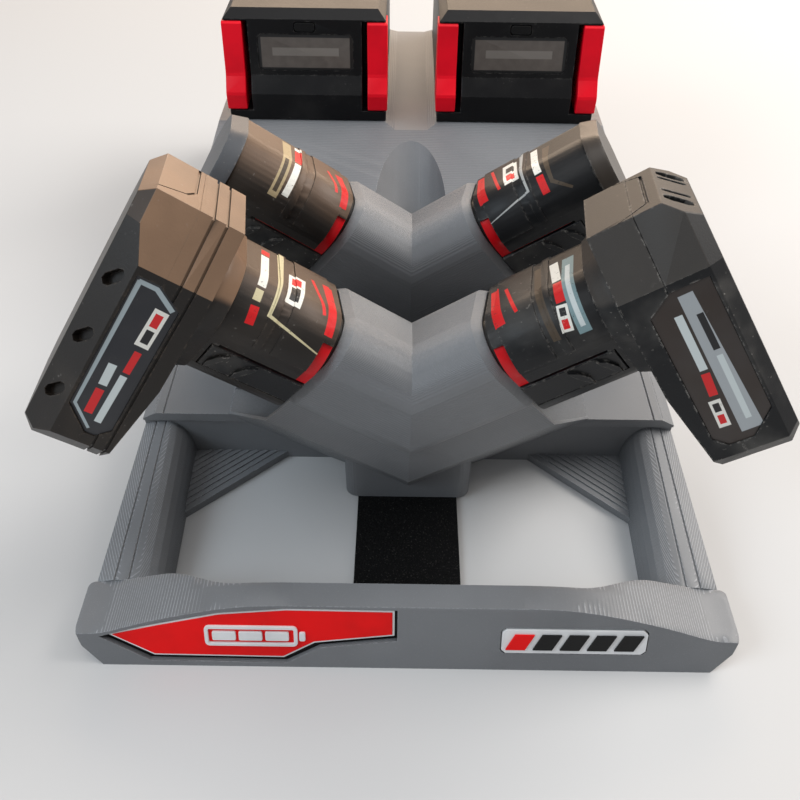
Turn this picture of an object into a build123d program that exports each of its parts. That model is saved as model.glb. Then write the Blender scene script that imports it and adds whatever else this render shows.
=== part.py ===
import os
from math import cos, hypot, radians, sin

from build123d import *

# Footprint. Distances along the caddy are counted from the front foot of the grip bar.
BASE_WIDTH = 232.0
BASE_HEIGHT = 30.0
LIP_HEIGHT = 4.6
LIP_OVERHANG = 1.2
SHELF_EDGE_RUN = 6.0
SHELF_EDGE_FALL = 3.4
BACK_CORNER = 6.0
DECK_EDGE = 262.0
DECK_HEIGHT = 82.0
DECK_TOP_WIDTH = 204.0
PANEL_FALL = 22.7
SCOOP_RADIUS = 17.5
SCOOP_SLOPE = 36.0
SCOOP_SETBACK = 13.5
VALLEY_FLOOR = 16.8
VALLEY_DEPTH = 1.3

# Grip bar.
BAR_DEPTH = 19.5
BAR_SHOULDER = 7.0
BAR_OVERHANG = 6.0
BAR_HEIGHT = 27.0
BAR_LEAN = 10.0
BAR_TOE = 9.0
BAR_TOE_HEIGHT = 11.0
BAR_CORNER = 9.0
BAR_BACK_CORNER = 2.6
SHOULDER_RUN = 31.0
ARCH_FLAT = 42.0
ARCH_FALL = 13.4

# Side rails, lower and wider at the bar than at the base.
RAIL_RUN = 72.5
RAIL_SPLAY = 3.2
RAIL_FRONT_WIDTH = 25.6
RAIL_FRONT_TOP = 15.4
RAIL_REAR_WIDTH = 19.5
RAIL_REAR_TOP = 24.0
RAIL_FALL = 2.0
RAIL_SIDES = 6
RIDGE_NEAR = 0.27
RIDGE_FAR = 0.49
GROOVE = 0.6

# Window furniture.
TONGUE_WIDTH = 43.0
TONGUE_THICK = 2.0
WEB_THICK = 4.0
WEB_REACH_X = 41.5
WEB_REACH_Y = 34.5
WEB_BORDER = 3.4
RIDGE_COUNT = 8
RIDGE_HEIGHT = 0.6
PEDESTAL_WIDTH = 54.0
PEDESTAL_REACH = 22.0
PEDESTAL_HEIGHT = 44.0
PEDESTAL_CORNER = 5.0

# Socket block: four sockets in two rows, rising to the left and to the right.
TUBE_TILT = 34.0
SOCKET_FRONT = 66.8
SOCKET_PITCH = 69.5
SOCKET_HEIGHT = 67.5
SOCKET_ROLL = 17.0
SOCKET_DEPTH = 21.0
SEAM_WALL = 2.25
LOBE_OFFSET = 10.9
STEM_LOBE = 9.8
TUBE_WALL = 2.4
LIP_RISE = 3.2
LIP_INSET = 1.8
CREASE_LEAD = 9.5
CREASE_DROP = 18.5
KNEE_LEAD = 3.6
KNEE_DROP = 42.1
UNDER_SLOPE = 0.82
SADDLE_DROP = 6.0
BACK_DROP = 22.0
SKIN = 1.2
HOLLOW_DEPTH = 38.0
HOLLOW_RUN = 46.0
HOLLOW_DROP = 14.0
BLOCK_TAIL = 28.7
VALLEY_HEIGHT = 36.0

# Stem packs.
MOUTH_GAP = 1.6
COLLAR_LOBE = 12.9
COLLAR_THICK = 3.8
COLLAR_LINE = 10.0
SHELL_LOBE = 13.7
SHELL_DROP = 2.0
SHELL_SHORT = 44.7
SHELL_LONG = 34.2
PAD_START = 3.6
PAD_LENGTH = 13.0
PAD_PROUD = 0.45
PAD_LINE = -1.0
BAND_GAP = 3.2
BAND_LENGTH = 2.6
CAP_THICK = 6.0
CAP_INSET = 2.0
CAP_RIM = 0.2
TAB_WIDTH = 13.0
TAB_SHIFT = 2.5
TAB_LENGTH = 32.3
TAB_THICK = 2.6
TAB_PROUD = 0.25
TAB_EDGE = 0.3
TAB_TRAVEL = 1.5
TAB_SLOT = 1.6
PRONG_WIDTH = 1.1
PRONG_HEIGHT = 3.4
PRONG_LENGTH = 25.0
RIB_LENGTH = 13.0
RIB_WIDTH = 2.4
RIB_PROUD = 1.0
RIB_PITCH = 9.5
RIB_ANGLE = 24.0
BOSS_DEPTH = 6.0
BOSS_FLARE = 2.2
BRICK_WIDTH = 53.0
BRICK_CROWN = 35.0
BRICK_UP = 28.0
BRICK_DOWN = 62.0
BRICK_INNER = 14.0
BRICK_OUTER = 17.0
BRICK_TAPER = 5.0
BRICK_EDGE = 4.0
BRICK_BEVEL = 8.5
BRICK_FOOT = 8.0
SEAM_WIDTH = 0.8
VENT_LENGTH = 9.0
VENT_WIDTH = 4.4
VENT_NARROW = 1.8
VENT_DEPTH = 2.6
DRAIN_PITCH = 21.0
LABEL_THICK = 1.0
LABEL_SINK = 0.5

# Rail packs and the shoes that hold them.
PACK_WIDTH = 82.0
PACK_LENGTH = 122.0
PACK_GAP = 27.0
PACK_SETBACK = 1.0
PACK_BAND = 14.0
PACK_BEVEL_RUN = 5.5
PACK_BEVEL_RISE = 8.0
PACK_UPPER = 30.0
PACK_RAKE = 6.5
PACK_CORNER = 5.0
PACK_TOP_EDGE = 4.0
SHOE_NECK = 42.0
SHOE_HEAD = 50.0
SHOE_NECK_HEIGHT = 5.6
SHOE_HEAD_HEIGHT = 6.0
SHOE_LENGTH = 80.0
SHOE_SETBACK = 9.0
SHOE_LEAD = 3.0
SHOE_SLOT_PITCH = 18.0
SHOE_SLOT_WIDTH = 4.0
SHOE_SLOT_LENGTH = 26.0
CHANNEL_LEAD = 20.0
TERMINAL_WIDTH = 30.0
TERMINAL_LENGTH = 14.0
CONTACT_PITCH = 9.0
CONTACT_WIDTH = 2.4
KEY_WIDTH = 9.4
KEY_DEPTH = 22.0
KEY_PROUD = 0.8
KEY_TRAVEL = 2.4
KEY_FOOT = 5.7
KEY_HEAD = 5.0
GAUGE_WIDTH = 10.0
GAUGE_HEIGHT = 4.0
GAUGE_THICK = 2.4
GAUGE_PROUD = 0.5
GAUGE_TRAVEL = 0.8
GAUGE_CORNER = 0.8

# Plates on the bar.
PLATE_RECESS = 2.4
BACKING_THICK = 0.6
PLATE_THICK = 1.5
RIM_WIDTH = 0.8
RIM_DROP = 0.3
BADGE_WIDTH = 53.0
BADGE_HEIGHT = 11.0
BADGE_CORNER = 1.6
BADGE_THICK = 1.8
BADGE_RECESS = 1.4
BADGE_GAP = 0.5
MARK_THICK = 0.7
MARK_COUNT = 5
MARK_SLANT = 1.6

# Clearances.
SOCKET_CLEARANCE = 0.4
SLIDE_CLEARANCE = 0.5
REST_CLEARANCE = 0.3
BUTTON_CLEARANCE = 0.4

# Positions that follow from the sizes above.
BAR_BACK = BAR_DEPTH + BAR_SHOULDER
BASE_FRONT = BAR_BACK + RAIL_RUN
WALL_FRONT = BASE_FRONT + LIP_OVERHANG
PACK_FRONT = DECK_EDGE + PACK_SETBACK
LENGTH = PACK_FRONT + PACK_LENGTH
HALF = BASE_WIDTH / 2
BAR_HALF = HALF + BAR_OVERHANG
TILT = radians(TUBE_TILT)
SOCKET_LOBE = STEM_LOBE + SOCKET_CLEARANCE
TUBE_LOBE = SOCKET_LOBE + TUBE_WALL
LOBE_TOP = LOBE_OFFSET * sin(radians(150 - SOCKET_ROLL))
SOCKET_FLOOR = (SEAM_WALL + (SOCKET_HEIGHT + LOBE_TOP + SOCKET_LOBE) * sin(TILT)) / cos(TILT)
MOUTH_REACH = SOCKET_FLOOR + SOCKET_DEPTH
SHELL_START = MOUTH_REACH + LIP_RISE + MOUTH_GAP
COLLAR_END = SHELL_START + COLLAR_THICK
BLOCK_BACK = SOCKET_FRONT + SOCKET_PITCH + BLOCK_TAIL
PACK_CENTRE = (PACK_WIDTH + PACK_GAP) / 2
PACK_BOTTOM = DECK_HEIGHT + REST_CLEARANCE
PACK_SPLIT = PACK_BOTTOM + PACK_BAND + PACK_BEVEL_RISE
PACK_TOP = PACK_SPLIT + PACK_UPPER

parts = {}


def front(distance):
    """Position along Y of a point so far behind the front foot of the bar."""
    return distance - LENGTH / 2


def outline(points):
    """Flat face through the points, always facing its plane's normal."""
    area = 0.0
    for (xa, ya), (xb, yb) in zip(points, points[1:] + points[:1]):
        area += xa * yb - xb * ya
    ordered = points if area > 0 else points[::-1]
    return Polygon(*ordered, align=None)


def span(x0, x1, y0, y1, z0, z1):
    """Box between two corners, with Y counted from the front."""
    size = Box(x1 - x0, y1 - y0, z1 - z0)
    return Pos((x0 + x1) / 2, front((y0 + y1) / 2), (z0 + z1) / 2) * size


def along_x(points, x0, x1):
    """Outline in Y (from the front) and Z, swept from x0 to x1."""
    face = outline([(front(y), z) for y, z in points])
    plane = Plane(origin=(x0, 0, 0), x_dir=(0, 1, 0), z_dir=(1, 0, 0))
    return extrude(plane * face, x1 - x0)


def along_y(face, y0, y1):
    """Face drawn in X and Z, swept between two distances from the front."""
    plane = Plane(origin=(0, front(y1), 0), x_dir=(1, 0, 0), z_dir=(0, -1, 0))
    return extrude(plane * face, y1 - y0)


def flip(shape):
    return mirror(shape, about=Plane.YZ)


def single(shape):
    """The largest solid of a shape, freed of any stray chips."""
    return max(shape.solids(), key=lambda body: body.volume)


def upright(distance):
    """Plane across the caddy, facing the front, with X to the right and Z up."""
    return Plane(origin=(0, front(distance), 0), x_dir=(1, 0, 0), z_dir=(0, -1, 0))


# Base: a flat printed slab behind the window, with a lip over its front wall and eased shelf edges.
base = span(-HALF, HALF, BASE_FRONT, LENGTH, 0, BASE_HEIGHT)
back_edges = base.edges().filter_by(Axis.Z).group_by(Axis.Y)[-1]
base = fillet(back_edges, BACK_CORNER)
base = chamfer(base.faces().sort_by(Axis.Z)[0].edges(), 1.0)
base -= span(-HALF - 1, HALF + 1, BASE_FRONT - 1, WALL_FRONT, -1, BASE_HEIGHT - LIP_HEIGHT)
shelf_edge = outline(
    [
        (HALF - SHELF_EDGE_RUN, BASE_HEIGHT),
        (HALF, BASE_HEIGHT - SHELF_EDGE_FALL),
        (HALF + 1, BASE_HEIGHT - SHELF_EDGE_FALL),
        (HALF + 1, BASE_HEIGHT + 1),
        (HALF - SHELF_EDGE_RUN, BASE_HEIGHT + 1),
    ]
)
edge_cut = along_y(shelf_edge, BASE_FRONT - 1, BLOCK_BACK)
base -= edge_cut
base -= flip(edge_cut)


def ridge_points(outer, width, top):
    """The two creases along the outer half of a rail's top."""
    return (outer - RIDGE_NEAR * width, top - RAIL_FALL * 0.2), (outer - RIDGE_FAR * width, top)


def rail_section(outer, width, top):
    """Rail cut across: upright outside, sloped outer top and a round window side."""
    inner = outer - width
    foot = top * RIDGE_NEAR
    near, far = ridge_points(outer, width, top)
    points = [(inner, 0), (outer, 0), (outer, top - RAIL_FALL), near]
    for step in range(RAIL_SIDES + 1):
        turn = radians(90 * step / RAIL_SIDES)
        points.append((far[0] - (far[0] - inner) * sin(turn), foot + (top - foot) * cos(turn)))
    return outline(points)


def groove_section(point):
    """V groove at a crease."""
    x, z = point
    return outline([(x - GROOVE, z + 0.2), (x + GROOVE, z + 0.2), (x, z - GROOVE)])


# Side rails, round on the window side and grooved along two creases of the top.
rail_front = (HALF + RAIL_SPLAY, RAIL_FRONT_WIDTH, RAIL_FRONT_TOP)
rail_rear = (HALF, RAIL_REAR_WIDTH, RAIL_REAR_TOP)
rail_ends = [upright(WALL_FRONT) * rail_section(*rail_rear), upright(BAR_BACK) * rail_section(*rail_front)]
rail = loft(rail_ends, ruled=True)
for rear_point, front_point in zip(ridge_points(*rail_rear), ridge_points(*rail_front)):
    groove_ends = [upright(WALL_FRONT) * groove_section(rear_point), upright(BAR_BACK) * groove_section(front_point)]
    rail -= loft(groove_ends, ruled=True)
    shelf_groove = along_y(groove_section((rear_point[0], BASE_HEIGHT)), BASE_FRONT - 1, BLOCK_BACK)
    base -= shelf_groove
    base -= flip(shelf_groove)
parts["base_frame"] = single(base)
parts["side_rail_right"] = single(rail)
parts["side_rail_left"] = flip(single(rail))


def rail_inner(distance):
    """Window side of the right rail, so far behind the front."""
    front_inner = HALF + RAIL_SPLAY - RAIL_FRONT_WIDTH
    rear_inner = HALF - RAIL_REAR_WIDTH
    share = (distance - BAR_BACK) / (WALL_FRONT - BAR_BACK)
    return front_inner + (rear_inner - front_inner) * share


# Grip bar: leaning front face, arched top, undercut ends and an S-curved inner edge.
shoulder_to = rail_inner(BAR_BACK) - 0.6
shoulder_from = shoulder_to - SHOULDER_RUN
bar_side = along_x([(0, 0), (BAR_LEAN, BAR_HEIGHT), (BAR_BACK, BAR_HEIGHT), (BAR_BACK, 0)], 0, BAR_HALF)
arch_shares = [(0.0, 0.0), (0.21, 0.045), (0.49, 0.33), (0.74, 0.72), (0.875, 0.95), (1.0, 1.0)]
arch_run = BAR_HALF - ARCH_FLAT
arch_points = [(ARCH_FLAT + u * arch_run, BAR_HEIGHT - v * ARCH_FALL) for u, v in arch_shares]
bar_face = make_face(
    Curve()
    + [
        Line((0, 0), (BAR_HALF - BAR_TOE, 0)),
        Line((BAR_HALF - BAR_TOE, 0), (BAR_HALF, BAR_TOE_HEIGHT)),
        Line((BAR_HALF, BAR_TOE_HEIGHT), arch_points[-1]),
        Spline(*arch_points, tangents=((1, 0), (1, -0.02))),
        Line(arch_points[0], (0, BAR_HEIGHT)),
        Line((0, BAR_HEIGHT), (0, 0)),
    ]
)
bar_arch = along_y(bar_face, -1, BAR_BACK + 1)
arc_share = 1 - cos(radians(45))
plan_half = make_face(
    Curve()
    + [
        Line((0, front(0)), (BAR_HALF - BAR_CORNER, front(0))),
        ThreePointArc(
            (BAR_HALF - BAR_CORNER, front(0)),
            (BAR_HALF - BAR_CORNER * arc_share, front(BAR_CORNER * arc_share)),
            (BAR_HALF, front(BAR_CORNER)),
        ),
        Line((BAR_HALF, front(BAR_CORNER)), (BAR_HALF, front(BAR_BACK - BAR_BACK_CORNER))),
        ThreePointArc(
            (BAR_HALF, front(BAR_BACK - BAR_BACK_CORNER)),
            (BAR_HALF - BAR_BACK_CORNER * arc_share, front(BAR_BACK - BAR_BACK_CORNER * arc_share)),
            (BAR_HALF - BAR_BACK_CORNER, front(BAR_BACK)),
        ),
        Line((BAR_HALF - BAR_BACK_CORNER, front(BAR_BACK)), (shoulder_to, front(BAR_BACK))),
        Spline(
            (shoulder_to, front(BAR_BACK)),
            ((shoulder_from + shoulder_to) / 2, front(BAR_DEPTH + BAR_SHOULDER / 2)),
            (shoulder_from, front(BAR_DEPTH)),
            tangents=((-1, 0), (-1, 0)),
        ),
        Line((shoulder_from, front(BAR_DEPTH)), (0, front(BAR_DEPTH))),
        Line((0, front(BAR_DEPTH)), (0, front(0))),
    ]
)
bar_half = single(bar_side & bar_arch & extrude(plan_half, BAR_HEIGHT))
bar = bar_half + flip(bar_half)

# Inlay and badge lie in the leaning front face of the bar.
lean_length = hypot(BAR_LEAN, BAR_HEIGHT)
bar_plane = Plane(
    origin=(0, front(0), 0),
    x_dir=(1, 0, 0),
    z_dir=(0, -BAR_HEIGHT / lean_length, BAR_LEAN / lean_length),
)


def on_bar(shares):
    """Outline on the bar's face, in shares of its half width and of its height."""
    return outline([(u * BAR_HALF, v * lean_length) for u, v in shares])


plate_face = on_bar(
    [
        (-0.885, 0.49),
        (-0.765, 0.185),
        (-0.375, 0.17),
        (-0.28, 0.42),
        (-0.045, 0.55),
        (-0.045, 0.90),
        (-0.36, 0.91),
        (-0.56, 0.83),
        (-0.75, 0.64),
    ]
)
recess_face = on_bar(
    [
        (-0.925, 0.465),
        (-0.78, 0.085),
        (-0.365, 0.07),
        (-0.262, 0.33),
        (-0.03, 0.455),
        (-0.03, 0.95),
        (-0.36, 0.955),
        (-0.575, 0.87),
        (-0.77, 0.675),
    ]
)
rim_face = offset(plate_face, RIM_WIDTH, kind=Kind.INTERSECTION) - plate_face
recess_floor = bar_plane.offset(-PLATE_RECESS)
plate_floor = bar_plane.offset(BACKING_THICK - PLATE_RECESS)
bar -= extrude(recess_floor * recess_face, PLATE_RECESS + BAR_DEPTH)
parts["name_plate_backing"] = single(extrude(recess_floor * recess_face, BACKING_THICK))
parts["name_plate"] = single(extrude(plate_floor * plate_face, PLATE_THICK))
parts["name_plate_rim"] = single(extrude(plate_floor * rim_face, PLATE_THICK - RIM_DROP))


def clipped(width, height, corner):
    """Rectangle with cut corners."""
    x = width / 2
    y = height / 2
    right = [(x - corner, -y), (x, corner - y), (x, y - corner), (x - corner, y)]
    return outline(right + [(-a, b) for a, b in reversed(right)])


badge_x = BAR_HALF * 0.5
badge_z = lean_length * 0.49
badge_spot = Pos(badge_x, badge_z)
badge_floor = bar_plane.offset(-BADGE_RECESS)
badge_well = clipped(BADGE_WIDTH + 2 * BADGE_GAP, BADGE_HEIGHT + 2 * BADGE_GAP, BADGE_CORNER)
bar -= extrude(badge_floor * badge_spot * badge_well, BADGE_RECESS + BAR_DEPTH)
parts["front_bar"] = single(bar)
badge_face = clipped(BADGE_WIDTH, BADGE_HEIGHT, BADGE_CORNER)
parts["badge_plate"] = single(extrude(badge_floor * badge_spot * badge_face, BADGE_THICK))
badge_top = bar_plane.offset(BADGE_THICK - BADGE_RECESS)
mark_pitch = (BADGE_WIDTH - BADGE_HEIGHT * 0.3) / MARK_COUNT
mark_x = mark_pitch * 0.36
mark_y = BADGE_HEIGHT * 0.32
mark_face = outline(
    [
        (-mark_x - MARK_SLANT, -mark_y),
        (mark_x - MARK_SLANT, -mark_y),
        (mark_x + MARK_SLANT, mark_y),
        (-mark_x + MARK_SLANT, mark_y),
    ]
)
marks = []
for step in range(MARK_COUNT):
    shift = Pos((step - (MARK_COUNT - 1) / 2) * mark_pitch, 0)
    marks.append(single(extrude(badge_top * badge_spot * shift * mark_face, MARK_THICK)))
parts["badge_block"] = marks[0]
parts["badge_bars"] = Compound(children=marks[1:])

# Lock tongue in the window and a ridged web in each far corner.
tongue = span(-TONGUE_WIDTH / 2, TONGUE_WIDTH / 2, BAR_DEPTH, WALL_FRONT, 0, TONGUE_THICK)
parts["lock_tongue"] = single(tongue)
web_front = WALL_FRONT - WEB_REACH_Y
web_corner = rail_inner(WALL_FRONT)
web_side = web_corner - WEB_REACH_X
web_face = outline(
    [
        (rail_inner(web_front), front(web_front)),
        (web_corner, front(WALL_FRONT)),
        (web_side, front(WALL_FRONT)),
    ]
)
web = extrude(web_face, WEB_THICK)
border = WEB_BORDER / WEB_REACH_Y
ridge_pitch = (1 - 2 * border) / RIDGE_COUNT
for step in range(RIDGE_COUNT):
    near = border + step * ridge_pitch
    far = near + ridge_pitch * 0.55
    near_y = web_front + near * WEB_REACH_Y
    far_y = web_front + far * WEB_REACH_Y
    ridge = outline(
        [
            (rail_inner(near_y), front(near_y)),
            (rail_inner(far_y), front(far_y)),
            (web_side + far * WEB_REACH_X, front(WALL_FRONT)),
            (web_side + near * WEB_REACH_X, front(WALL_FRONT)),
        ]
    )
    web += extrude(Pos(0, 0, WEB_THICK) * ridge, RIDGE_HEIGHT)
parts["corner_web_right"] = single(web)
parts["corner_web_left"] = flip(single(web))

# Socket block. The right half is drawn across its tube axis and mirrored.
socket_plane = Plane(origin=(0, 0, 0), x_dir=(0, 1, 0), z_dir=(cos(TILT), 0, sin(TILT)))


def trefoil(lobe):
    """Outline of three cells side by side, as wide as the lobe radius makes it."""
    corners = []
    for angle in (30, 150, 270):
        corners.append((LOBE_OFFSET * cos(radians(angle)), LOBE_OFFSET * sin(radians(angle))))
    return offset(outline(corners), lobe)


def narrowed(lobe, height, inset):
    """Trefoil block whose outline draws in by the inset towards its far end."""
    block = extrude(trefoil(lobe), height)
    end = block.faces().sort_by(Axis.Z)[-1]
    return chamfer(end.edges(), inset, height - CAP_RIM, reference=end)


def pack_frame(distance):
    """Frame of one right-hand socket: Z runs out along the tube."""
    turn = Rot(0, 0, -SOCKET_ROLL)
    return socket_plane.location * Pos(front(distance), SOCKET_HEIGHT, 0) * turn


def across(points, s0, s1):
    """Outline in Y (from the front) and height above the tube axis line, swept along it."""
    face = outline([(front(y), n) for y, n in points])
    return extrude(socket_plane.offset(s0) * face, s1 - s0)


rows = {"front": SOCKET_FRONT, "rear": SOCKET_FRONT + SOCKET_PITCH}
rear_y = rows["rear"]
crease_n = SOCKET_HEIGHT - CREASE_DROP
knee_n = SOCKET_HEIGHT - KNEE_DROP
deep = BASE_HEIGHT * 2
saddle = SOCKET_HEIGHT - SADDLE_DROP
under_run = (knee_n + deep) * UNDER_SLOPE
wedge = [
    (SOCKET_FRONT - CREASE_LEAD, crease_n),
    (SOCKET_FRONT - KNEE_LEAD, knee_n),
    (SOCKET_FRONT - KNEE_LEAD + under_run, -deep),
    (BLOCK_BACK, -deep),
    (BLOCK_BACK, SOCKET_HEIGHT - BACK_DROP),
    (rear_y + LOBE_OFFSET, saddle),
    (rear_y, saddle),
    (rear_y - CREASE_LEAD, crease_n),
    (rear_y - CREASE_LEAD / 2, VALLEY_HEIGHT),
    (SOCKET_FRONT + CREASE_DROP, VALLEY_HEIGHT),
    (SOCKET_FRONT + TUBE_LOBE, saddle - TUBE_LOBE),
    (SOCKET_FRONT, saddle),
]
half_block = across(wedge, -deep / 2, MOUTH_REACH)
tubes = {}
for row, distance in rows.items():
    tube = extrude(pack_frame(distance) * Pos(0, 0, -deep / 2) * trefoil(TUBE_LOBE), MOUTH_REACH + deep / 2)
    tubes[row] = tube
    half_block += tube
pedestal = span(
    -PEDESTAL_WIDTH,
    PEDESTAL_WIDTH / 2,
    BASE_FRONT - PEDESTAL_REACH,
    WALL_FRONT,
    TONGUE_THICK,
    PEDESTAL_HEIGHT,
)
pedestal_edge = pedestal.edges().filter_by(Axis.Z).group_by(Axis.Y)[0].sort_by(Axis.X)[-1]
half_block += fillet(pedestal_edge, PEDESTAL_CORNER)
half_block = half_block & span(0, LENGTH, -LENGTH, LENGTH, TONGUE_THICK, LENGTH)
lip_bottom = BASE_HEIGHT - LIP_HEIGHT
half_block -= span(-1, LENGTH, WALL_FRONT, LENGTH, -deep, BASE_HEIGHT)
half_block -= span(-1, LENGTH, BASE_FRONT, LENGTH, lip_bottom, BASE_HEIGHT)

# Below each front socket the block is a thin skin round an open hollow.
hollow_end = SOCKET_FRONT + HOLLOW_RUN
skin_front = SOCKET_FRONT + SKIN
hollow_line = [
    (skin_front - CREASE_LEAD, crease_n),
    (skin_front - KNEE_LEAD, knee_n + SKIN * 0.4),
    (skin_front - KNEE_LEAD + under_run, -deep),
    (hollow_end + deep, -deep),
    (SOCKET_FRONT + HOLLOW_DROP * 2, VALLEY_HEIGHT - LOBE_OFFSET),
    (SOCKET_FRONT + LOBE_OFFSET, SOCKET_HEIGHT - HOLLOW_DROP),
    (SOCKET_FRONT, SOCKET_HEIGHT - LOBE_OFFSET),
]
hollow = across(hollow_line, MOUTH_REACH - HOLLOW_DEPTH, MOUTH_REACH + 1) - tubes["front"]
hollow = hollow & span(0, LENGTH, 0, hollow_end, BASE_HEIGHT + SKIN, LENGTH)
half_block -= single(hollow)

# A tapered lip stands on each mouth, and the socket runs through it.
for distance in rows.values():
    mouth = pack_frame(distance) * Pos(0, 0, MOUTH_REACH)
    half_block += mouth * narrowed(TUBE_LOBE, LIP_RISE, LIP_INSET)
    floor = pack_frame(distance) * Pos(0, 0, SOCKET_FLOOR)
    half_block -= extrude(floor * trefoil(SOCKET_LOBE), SOCKET_DEPTH + LIP_RISE + 1)
half_block = single(half_block)
parts["socket_block"] = single(half_block + flip(half_block))

# Rear deck: sloped panel, flat top and tapered sides, with a scoop and a valley down the middle.
deck_outline = [
    (BLOCK_BACK, BASE_HEIGHT),
    (BLOCK_BACK, DECK_HEIGHT - PANEL_FALL),
    (DECK_EDGE, DECK_HEIGHT),
    (LENGTH, DECK_HEIGHT),
    (LENGTH, BASE_HEIGHT),
]
deck_sides = outline(
    [
        (-HALF, BASE_HEIGHT),
        (HALF, BASE_HEIGHT),
        (DECK_TOP_WIDTH / 2, DECK_HEIGHT),
        (-DECK_TOP_WIDTH / 2, DECK_HEIGHT),
    ]
)
deck = along_x(deck_outline, -HALF, HALF) & along_y(deck_sides, BLOCK_BACK, LENGTH)
deck_back = deck.edges().filter_by(lambda e: abs(e.center().Y - front(LENGTH)) < 0.01)
deck_back = deck_back.filter_by(lambda e: abs(e.center().X) > DECK_TOP_WIDTH / 4)
deck = fillet(deck_back, BACK_CORNER)
scoop = radians(SCOOP_SLOPE)
scoop_drop = SCOOP_SETBACK * PANEL_FALL / (DECK_EDGE - BLOCK_BACK)
scoop_y = DECK_EDGE - SCOOP_SETBACK - SCOOP_RADIUS * sin(scoop)
scoop_z = DECK_HEIGHT - scoop_drop + SCOOP_RADIUS * cos(scoop)
scoop_plane = Plane(origin=(0, front(scoop_y), scoop_z), x_dir=(1, 0, 0), z_dir=(0, -cos(scoop), -sin(scoop)))
deck -= extrude(scoop_plane * Circle(SCOOP_RADIUS), LENGTH / 2, both=True)
valley = outline(
    [
        (-VALLEY_FLOOR / 2, DECK_HEIGHT - VALLEY_DEPTH),
        (VALLEY_FLOOR / 2, DECK_HEIGHT - VALLEY_DEPTH),
        (PACK_GAP / 2, DECK_HEIGHT),
        (PACK_GAP / 2, DECK_HEIGHT + 1),
        (-PACK_GAP / 2, DECK_HEIGHT + 1),
        (-PACK_GAP / 2, DECK_HEIGHT),
    ]
)
deck -= along_y(valley, BLOCK_BACK, LENGTH)
parts["rear_deck"] = single(deck)

# Dock shoes stand on the deck and grip the rail packs from inside.
shoe_front = LENGTH - SHOE_SETBACK - SHOE_LENGTH
shoe_back = LENGTH - SHOE_SETBACK
neck_top = DECK_HEIGHT + SHOE_NECK_HEIGHT
shoe_top = neck_top + SHOE_HEAD_HEIGHT
neck_half = SHOE_NECK / 2
head_half = SHOE_HEAD / 2
shoe = span(PACK_CENTRE - neck_half, PACK_CENTRE + neck_half, shoe_front, shoe_back, DECK_HEIGHT, neck_top)
shoe_head = span(PACK_CENTRE - head_half, PACK_CENTRE + head_half, shoe_front, shoe_back, neck_top, shoe_top)
lead_edges = shoe_head.edges().group_by(Axis.Y)[0].filter_by(Axis.Z)
shoe += chamfer(lead_edges, SHOE_LEAD)
for side in (-1, 1):
    slot_x = PACK_CENTRE + side * SHOE_SLOT_PITCH / 2
    slot_half = SHOE_SLOT_WIDTH / 2
    slot_back = shoe_front + SHOE_SLOT_LENGTH
    slot_floor = neck_top + SHOE_HEAD_HEIGHT / 3
    shoe -= span(slot_x - slot_half, slot_x + slot_half, shoe_front, slot_back, slot_floor, shoe_top)
parts["dock_shoe_right"] = single(shoe)
parts["dock_shoe_left"] = flip(single(shoe))

# Stem packs. All are drawn in the socket frame of their row.
flat_reach = LOBE_OFFSET / 2 + SHELL_LOBE
tab_top = TAB_WIDTH / 2 - TAB_SHIFT
slot_line = tab_top * cos(radians(30)) - SHELL_DROP - flat_reach / 2
tab_inner = flat_reach + TAB_PROUD - TAB_THICK
well_floor = tab_inner - TAB_TRAVEL - BUTTON_CLEARANCE
body_reach = BRICK_WIDTH
tab_turns = {"front": (210, -1), "rear": (330, 1)}
rib_face = outline(
    [
        (-RIB_LENGTH / 2, 0),
        (-RIB_LENGTH / 5, -RIB_WIDTH * 0.3),
        (RIB_LENGTH / 5, -RIB_WIDTH * 0.3),
        (RIB_LENGTH / 2, 0),
        (RIB_LENGTH / 5, RIB_WIDTH * 0.7),
        (-RIB_LENGTH / 5, RIB_WIDTH * 0.7),
    ]
)


def release_tab():
    """Squeeze tab with two crescent ribs, its middle at the origin and its face towards +X."""
    tab = Box(TAB_THICK, TAB_WIDTH, TAB_LENGTH)
    tab = chamfer(tab.faces().sort_by(Axis.X)[-1].edges(), TAB_EDGE)
    tab_face = Plane(origin=(TAB_THICK / 2 - 0.1, 0, 0), x_dir=(0, 1, 0), z_dir=(1, 0, 0))
    for step in (0.25, 1.25):
        tab += extrude(tab_face * Pos(0, step * RIB_PITCH) * Rot(0, 0, RIB_ANGLE) * rib_face, RIB_PROUD + 0.1)
    return single(tab)


def raised(start, length):
    """Slightly proud stretch across the upper side of a shell."""
    proud = extrude(Pos(0, -SHELL_DROP, start) * trefoil(SHELL_LOBE + PAD_PROUD), length)
    upper = Pos(0, PAD_LINE + body_reach / 2, start + length / 2) * Box(body_reach * 2, body_reach, length)
    return proud & upper


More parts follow.
